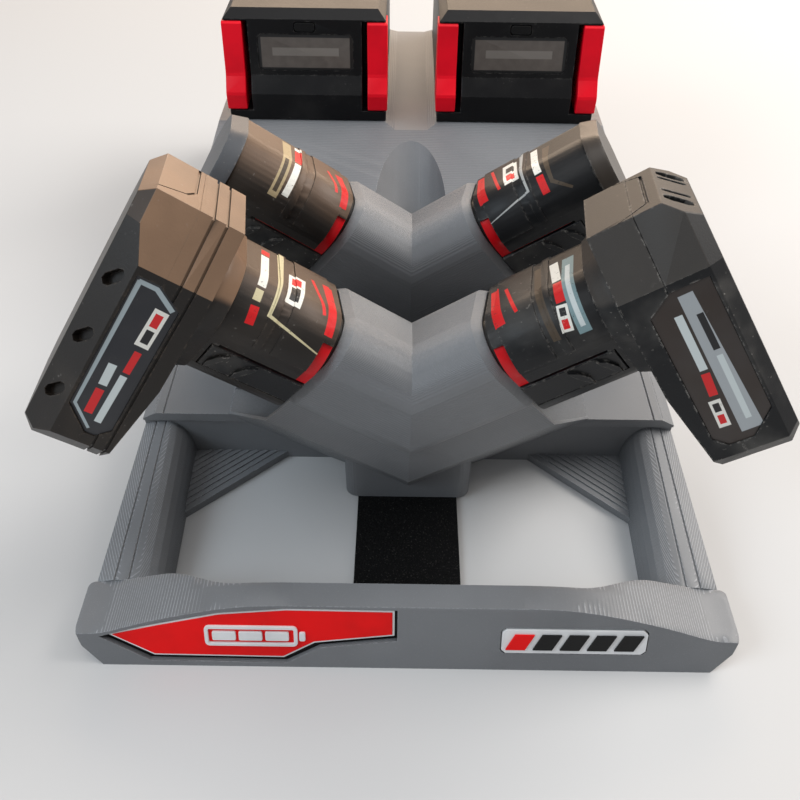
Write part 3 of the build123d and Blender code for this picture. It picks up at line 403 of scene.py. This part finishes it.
# Prints: ink, points, and half widths at the two ends, in millimetres. A point on a shell is its distance
# along the tube and round the shell; on a label it is its distance along the tube and its height.
front_left_prints = [
    (RED, [(90.6, 5.0), (89.4, -22.0)], 1.9, 1.5),
    (RED, [(96.4, 4.0), (92.6, -16.0)], 0.6, 0.6),
    (WHITE, [(102.2, -0.4), (103.6, -17.9)], 2.9, 2.7),
    (RED, [(102.4, -2.2), (102.9, -7.6)], 1.6, 1.6),
    (INK, [(103.0, -9.2), (103.5, -16.2)], 1.5, 1.5),
    (CREAM, [(108.0, 12.0), (108.2, 4.0), (109.0, -24.2), (88.9, -28.7)], 1.1, 0.2),
    (RED, [(113.5, 9.0), (113.6, 5.2)], 1.5, 1.5),
    (WHITE, [(113.7, 4.4), (114.3, -16.6)], 1.4, 1.4),
    (CREAM, [(114.4, -17.8), (114.4, -21.8)], 1.3, 1.3),
    (RED, [(114.0, -23.4), (113.3, -29.4)], 1.4, 1.4),
]
front_right_prints = [
    (RED, [(88.9, 5.5), (91.2, -18.5)], 1.5, 1.9),
    (RED, [(93.4, 2.0), (97.4, -16.0)], 0.6, 0.6),
    (UMBER, [(104.8, 7.0), (105.9, -30.0)], 1.3, 1.3),
    (WHITE, [(110.4, 5.4), (111.6, -9.8)], 1.5, 1.5),
    (RED, [(111.8, -10.8), (111.4, -19.4)], 1.5, 1.5),
    (WHITE, [(111.3, -20.2), (110.0, -28.8)], 1.8, 1.8),
    (INK, [(111.1, -21.2), (110.7, -23.8)], 1.0, 1.0),
    (RED, [(110.5, -24.8), (110.1, -27.9)], 1.0, 1.0),
    (MIST, [(115.5, 5.0), (114.7, -31.2)], 2.0, 2.0),
    (PALE, [(115.3, -1.0), (114.8, -29.0)], 0.8, 0.8),
]
rear_left_prints = [
    (RED, [(91.4, 3.0), (89.4, -21.0)], 1.9, 1.5),
    (RED, [(96.6, 1.5), (93.6, -16.0)], 0.6, 0.6),
    (WHITE, [(109.4, 9.4), (109.5, 5.6)], 1.4, 1.4),
    (RED, [(109.5, 4.6), (110.2, -11.0)], 1.4, 1.4),
    (WHITE, [(110.2, -12.0), (110.8, -27.8)], 1.3, 1.3),
    (SAND, [(114.4, 9.0), (114.9, -30.0)], 1.8, 1.8),
    (UMBER, [(114.7, -12.0), (114.9, -28.0)], 0.8, 0.8),
]
rear_right_prints = [
    (RED, [(88.2, 9.0), (90.6, -18.5)], 1.5, 1.9),
    (RED, [(93.4, 8.0), (97.6, -16.0)], 0.6, 0.6),
    (WHITE, [(101.2, 6.0), (102.8, -15.4)], 2.9, 2.9),
    (INK, [(101.6, 1.4), (102.0, -5.4)], 1.6, 1.6),
    (RED, [(102.2, -8.4), (102.6, -13.6)], 1.6, 1.6),
    (SILVER, [(106.1, 11.0), (106.8, -10.0), (107.4, -22.7), (89.4, -27.1)], 0.95, 0.15),
    (WHITE, [(111.5, 8.0), (112.9, -17.8)], 1.4, 1.4),
    (RED, [(113.0, -18.9), (113.1, -26.5)], 1.4, 1.4),
    (UMBER, [(116.8, 4.0), (116.6, -23.2), (122.3, -28.7)], 1.5, 0.5),
]
left_label_prints = [
    (STEEL, [(134.6, -0.4), (141.4, 4.1), (146.6, 4.1), (146.6, -41.2), (139.6, -48.2)], 0.8, 0.45),
    (WHITE, [(137.2, -1.5), (137.6, -15.0)], 2.2, 2.2),
    (RED, [(137.3, -2.9), (137.4, -7.6)], 1.2, 1.2),
    (INK, [(137.4, -8.8), (137.5, -13.6)], 1.2, 1.2),
    (RED, [(137.5, -17.0), (137.7, -25.2)], 1.1, 1.1),
    (PALE, [(137.8, -26.4), (138.1, -45.0)], 1.1, 1.1),
    (PALE, [(142.2, -24.0), (142.0, -32.0)], 1.3, 1.3),
    (RED, [(142.0, -33.6), (141.9, -43.0)], 1.3, 1.3),
]
right_label_prints = [
    (PEWTER, [(144.5, 3.4), (145.2, -47.0)], 2.2, 3.4),
    (INK, [(145.8, -4.0), (145.8, -17.0)], 1.0, 1.0),
    (PALE, [(145.7, -19.0), (145.4, -43.0)], 0.9, 0.9),
    (PALE, [(140.2, -2.2), (139.9, -22.0)], 1.2, 1.2),
    (RED, [(139.8, -23.2), (139.2, -31.4)], 1.3, 1.3),
    (WHITE, [(138.6, -33.0), (138.2, -43.2)], 1.8, 1.8),
    (INK, [(138.5, -34.2), (138.4, -37.4)], 1.0, 1.0),
    (RED, [(138.4, -38.6), (138.2, -42.0)], 1.0, 1.0),
]

# The left packs' black is tinted warm: a painted reflection of warm light.
BLACK_WITH_PAINTED_WARM_TINT = linear(34, 30, 27)
WARM_DUST = linear(112, 98, 84)
COOL = linear(21, 22, 24)
COOL_DUST = linear(150, 146, 140)
# Painted reflection of warm light, laid on the upper faces of the left packs.
PAINTED_BRONZE_SHEEN = linear(148, 118, 94)
DUST_FILM = linear(74, 69, 64)

# Upper tones: row and side of the pack, tone, share, and how far a face turns up where the tone starts
# and where it is full. The bronze tone is a painted reflection of warm light; the grey tone on the right
# brick is dust.
painted_bronze_sheen = ("front", "left", PAINTED_BRONZE_SHEEN, 0.8, 0.26, 0.42)
painted_bronze_sheen_front = ("front", "left", PAINTED_BRONZE_SHEEN, 0.3, 0.5, 1.0)
painted_bronze_sheen_rear = ("rear", "left", PAINTED_BRONZE_SHEEN, 0.45, 0.0, 0.9)
dusted = ("front", "right", DUST_FILM, 0.75, 0.26, 0.42)

print_flat = printed_grey("print_layers_up", "Z", contour=0.15)
print_bar = printed_grey("print_layers_bar", "Z", flat_top=BAR_TOP)
print_rail = printed_grey("print_layers_rail", "Z")
print_block = printed_grey("print_layers_back", "Y")
brick_left = moulded_black("moulding_brick_painted_bronze_sheen", BLACK_WITH_PAINTED_WARM_TINT, 0.10, WARM_DUST, 0.34, 0.9 * MM, painted_bronze_sheen)
brick_right = moulded_black("moulding_dusty_brick", COOL, 0.24, COOL_DUST, 0.48, 0.6 * MM, dusted)
black_left = moulded_black("moulding_black_painted_warm_tint", BLACK_WITH_PAINTED_WARM_TINT, 0.12, WARM_DUST, 0.46, 0.9 * MM)
black_right = moulded_black("moulding_cool_black", COOL, 0.16, COOL_DUST, 0.44, 0.6 * MM)
black_rail = moulded_black(
    "moulding_rail_black", linear(12, 12, 14), 0.03, COOL_DUST, 0.34, 0.6 * MM, gloss=0.22
)
tab_black = moulded_black("tab_black", COOL, 0.26, linear(128, 124, 118), 0.36, 0.6 * MM)
# Painted reflection: the end caps are tinted slate on the left and brown on the right, for cool and warm
# light reflected in them.
cap_left = moulded_black("cap_painted_cool_reflection", linear(72, 75, 80), 0.10, COOL_DUST, 0.40, 0.6 * MM)
cap_right = moulded_black("cap_painted_warm_reflection", linear(58, 52, 47), 0.10, COOL_DUST, 0.34, 0.6 * MM)
collar_red = plain_gloss("collar_red", linear(208, 6, 20), 0.28, 0.15, 0.25)
key_red = plain_gloss("key_red", linear(238, 6, 34), 0.38, 0.0, 0.2)
inlay_red = plain_gloss("inlay_red", linear(240, 3, 6), 0.45, 0.0, 0.2)
trim_white = plain_gloss("trim_white", linear(228, 229, 230), 0.36)
trim_black = plain_gloss("trim_black", linear(10, 10, 11), 0.42, 0.0, 0.25)
tongue_black = loop_facing("loop_facing_black")

finishes = {
    "lock_tongue": tongue_black,
    "name_plate": inlay_red,
    "name_plate_rim": trim_white,
    "badge_plate": trim_white,
    "badge_block": inlay_red,
    "badge_bars": trim_black,
    # The black backing shows as a dark band round the plate: partly a black layer, partly a dark sheet for
    # the shade in its recess.
    "name_plate_backing": trim_black,
    "socket_block": print_block,
    "front_bar": print_bar,
    "side_rail_left": print_rail,
    "side_rail_right": print_rail,
    "front_left_brick_inner": brick_left,
    "front_left_brick_outer": brick_left,
    "front_right_brick_inner": brick_right,
    "front_right_brick_outer": brick_right,
    "rear_left_end_cap": cap_left,
    "rear_right_end_cap": cap_right,
    "front_left_shell": printed_shell(
        "shell_front_left", "front", "left", BLACK_WITH_PAINTED_WARM_TINT, 0.10, WARM_DUST, front_left_prints, painted_bronze_sheen_front
    ),
    "front_right_shell": printed_shell(
        "shell_front_right", "front", "right", COOL, 0.12, COOL_DUST, front_right_prints
    ),
    "rear_left_shell": printed_shell(
        "shell_rear_left", "rear", "left", BLACK_WITH_PAINTED_WARM_TINT, 0.10, WARM_DUST, rear_left_prints, painted_bronze_sheen_rear
    ),
    "rear_right_shell": printed_shell(
        "shell_rear_right", "rear", "right", COOL, 0.08, COOL_DUST, rear_right_prints
    ),
    "front_left_label": brick_label("label_left", "left", linear(30, 32, 38), left_label_prints),
    "front_right_label": brick_label("label_right", "right", linear(48, 39, 34), right_label_prints),
    "left_rail_label": rail_label("rail_label_left", -54.5),
    "right_rail_label": rail_label("rail_label_right", 54.5),
}
for name in nodes:
    if name in finishes:
        continue
    if name.endswith("_collar"):
        finishes[name] = collar_red
    elif "_tab_" in name:
        finishes[name] = tab_black
    elif "_key_" in name:
        finishes[name] = key_red
    elif "_rail_" in name and name.split("_")[0] in ("left", "right"):
        finishes[name] = trim_black if name.endswith(("terminals", "gauge_button")) else black_rail
    elif name.startswith(("front_left", "rear_left")):
        finishes[name] = black_left
    elif name.startswith(("front_right", "rear_right")):
        finishes[name] = black_right
    else:
        finishes[name] = print_flat
for name, material in finishes.items():
    mesh = nodes[name].data
    mesh.materials.clear()
    mesh.materials.append(material)

# Widths of the rounded edges, in millimetres.
soft_edges = {
    "front_bar": 0.8,
    "base_frame": 0.8,
    "rear_deck": 0.8,
    "socket_block": 0.45,
    "side_rail_left": 0.3,
    "side_rail_right": 0.3,
    "front_left_brick_outer": 2.2,
    "front_left_brick_inner": 1.6,
    "front_right_brick_outer": 0.4,
}
for name, piece in nodes.items():
    width = soft_edges.get(name)
    if width is None:
        width = 0.5 if name.endswith(("shell", "inner", "outer", "lower", "upper", "cap")) else 0.15
    weld = piece.modifiers.new("join_facets", "WELD")
    weld.merge_threshold = 0.005 * MM
    soft = piece.modifiers.new("soft_edge", "BEVEL")
    soft.width = width * MM
    soft.segments = 3 if width > 1.0 else 2
    soft.limit_method = "ANGLE"
    soft.angle_limit = radians(28)
    soft.use_clamp_overlap = True
    soft.harden_normals = True


def plate_plane(name):
    """Middle of the largest front face of a plate, and the face's outward direction."""
    mesh = nodes[name].data
    fronts = [face for face in mesh.polygons if face.normal.y < -0.5]
    widest = max(fronts, key=lambda face: face.area)
    return widest.center.copy(), widest.normal.normalized()


def add_piece(name, bm, material, body):
    """Puts a finished mesh on a body of the frame."""
    bmesh.ops.recalc_face_normals(bm, faces=bm.faces)
    mesh = bpy.data.meshes.new(name)
    bm.to_mesh(mesh)
    bm.free()
    mesh.materials.append(material)
    piece = bpy.data.objects.new(name, mesh)
    bpy.context.collection.objects.link(piece)
    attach(piece, body)
    return piece


# Plain battery sign on the red inlay of the bar: how far it stands proud, how thick it is, and its edge.
SIGN_PROUD = 0.8 * MM
SIGN_THICK = 1.0 * MM
SIGN_EDGE = 0.18 * MM
SIGN_NEAR_FRONT = 0.7 * MM
face_middle, face_out = plate_plane("name_plate")
side_way = Vector((1.0, 0.0, 0.0))
up_way = face_out.cross(side_way).normalized()
sign_x = -0.0560
sign_z = 0.0138
sign_drop = face_out.x * (sign_x - face_middle.x) + face_out.z * (sign_z - face_middle.z)
sign_y = face_middle.y - sign_drop / face_out.y
sign_place = Matrix.Translation((sign_x, sign_y, sign_z)) @ Matrix(
    (
        (side_way.x, up_way.x, face_out.x, 0.0),
        (side_way.y, up_way.y, face_out.y, 0.0),
        (side_way.z, up_way.z, face_out.z, 0.0),
        (0.0, 0.0, 0.0, 1.0),
    )
)


def sign_bar(name, left, right, low, high, corner):
    """One bar of the sign, given by its edges on the plate in millimetres."""
    bm = bmesh.new()
    bmesh.ops.create_cube(bm, size=1.0)
    size = Matrix.Diagonal(((right - left) * MM, (high - low) * MM, SIGN_THICK, 1.0))
    depth = SIGN_PROUD - SIGN_THICK / 2
    middle = Matrix.Translation(((left + right) / 2 * MM, (low + high) / 2 * MM, depth))
    bmesh.ops.transform(bm, matrix=middle @ size, verts=bm.verts)
    upright = [edge for edge in bm.edges if abs(edge.verts[0].co.z - edge.verts[1].co.z) > SIGN_THICK / 2]
    bmesh.ops.bevel(
        bm, geom=upright, offset=corner * MM, affect="EDGES", segments=4, profile=0.5, material=-1
    )
    front = [edge for edge in bm.edges if min(vert.co.z for vert in edge.verts) > SIGN_NEAR_FRONT]
    bmesh.ops.bevel(bm, geom=front, offset=SIGN_EDGE, affect="EDGES", segments=2, profile=0.5, material=-1)
    bmesh.ops.transform(bm, matrix=sign_place, verts=bm.verts)
    return add_piece(name, bm, trim_white, "caddy")


def sign_frame(name, left, right, low, high, corner, wall):
    """Outline of the sign as one ring, given by its outer edges on the plate in millimetres."""
    bm = bmesh.new()
    bmesh.ops.create_grid(bm, x_segments=1, y_segments=1, size=0.5)
    size = Matrix.Diagonal(((right - left) * MM, (high - low) * MM, 1.0, 1.0))
    middle = Matrix.Translation(((left + right) / 2 * MM, (low + high) / 2 * MM, SIGN_PROUD))
    bmesh.ops.transform(bm, matrix=middle @ size, verts=bm.verts)
    bmesh.ops.bevel(
        bm, geom=bm.verts[:], offset=corner * MM, affect="VERTICES", segments=5, profile=0.5, material=-1
    )
    plate = bm.faces[:]
    bmesh.ops.inset_region(
        bm, faces=plate, thickness=wall * MM, use_boundary=True, use_even_offset=True
    )
    bmesh.ops.delete(bm, geom=plate, context="FACES")
    deep = bmesh.ops.extrude_face_region(bm, geom=bm.faces[:])["geom"]
    moved = [vert for vert in deep if isinstance(vert, bmesh.types.BMVert)]
    bmesh.ops.translate(bm, verts=moved, vec=(0.0, 0.0, -SIGN_THICK))
    front = []
    for edge in bm.edges:
        if min(vert.co.z for vert in edge.verts) > SIGN_NEAR_FRONT and edge.calc_face_angle(0.0) > 1.0:
            front.append(edge)
    bmesh.ops.bevel(bm, geom=front, offset=SIGN_EDGE, affect="EDGES", segments=2, profile=0.5, material=-1)
    bmesh.ops.transform(bm, matrix=sign_place, verts=bm.verts)
    return add_piece(name, bm, trim_white, "caddy")


sign_frame("sign_frame", -18.0, 16.0, -4.6, 4.6, 1.9, 1.4)
sign_bar("sign_terminal", 16.6, 18.8, -2.0, 2.0, 0.6)
for step in range(3):
    left = -15.2 + step * 9.7
    sign_bar("sign_cell_" + str(step + 1), left, left + 8.6, -2.0, 2.0, 0.6)

# Floor, light and camera.
floor_paint = Finish("studio_floor")
floor_paint.set("Base Color", (0.57, 0.57, 0.57, 1.0))
floor_paint.set("Roughness", 0.8)
floor_paint.shader.inputs["Specular IOR Level"].default_value = 0.0
bm = bmesh.new()
bmesh.ops.create_grid(bm, x_segments=1, y_segments=1, size=4.0)
floor_mesh = bpy.data.meshes.new("studio_floor")
bm.to_mesh(floor_mesh)
bm.free()
floor_mesh.materials.append(floor_paint.material)
floor = bpy.data.objects.new("studio_floor", floor_mesh)
bpy.context.collection.objects.link(floor)


def area_light(name, place, target, size, power, colour):
    """Soft rectangular lamp that looks at a target."""
    lamp = bpy.data.lights.new(name, "AREA")
    lamp.shape = "RECTANGLE"
    lamp.size, lamp.size_y = size
    lamp.energy = power
    lamp.color = colour
    holder = bpy.data.objects.new(name, lamp)
    holder.location = place
    aim = Vector(target) - Vector(place)
    holder.rotation_euler = aim.to_track_quat("-Z", "Y").to_euler()
    bpy.context.collection.objects.link(holder)


centre = (0.0, 0.0, 0.06)
area_light("right_window", (0.92, 0.40, 0.96), centre, (0.9, 0.7), 18.0, (1.0, 0.95, 0.90))
area_light("warm_window", (0.1, 1.5, 0.5), centre, (1.6, 0.7), 18.0, (1.0, 0.76, 0.55))
area_light("cool_window", (-0.95, -0.52, 0.80), centre, (0.6, 0.6), 7.0, (0.78, 0.90, 1.0))
area_light("overhead", (0.1, -0.1, 1.4), centre, (1.4, 0.8), 7.5, (1.0, 0.98, 0.96))

world = bpy.data.worlds.new("studio")
world.use_nodes = True
world.node_tree.nodes["Background"].inputs["Color"].default_value = (0.98, 0.98, 1.0, 1.0)
world.node_tree.nodes["Background"].inputs["Strength"].default_value = 0.33
bpy.context.scene.world = world
bpy.context.scene.view_settings.view_transform = "Standard"

camera_data = bpy.data.cameras.new("photo_view")
camera_data.sensor_width = 36.0
camera_data.lens = 36.0
camera_data.shift_y = -27.0 / 800.0
camera = bpy.data.objects.new("photo_view", camera_data)
turn = Matrix.Rotation(radians(45.0), 4, "X") @ Matrix.Rotation(radians(0.8), 4, "Z")
camera.matrix_world = Matrix.Translation((-0.004, -0.3255, 0.2887)) @ turn
bpy.context.collection.objects.link(camera)
bpy.context.scene.camera = camera
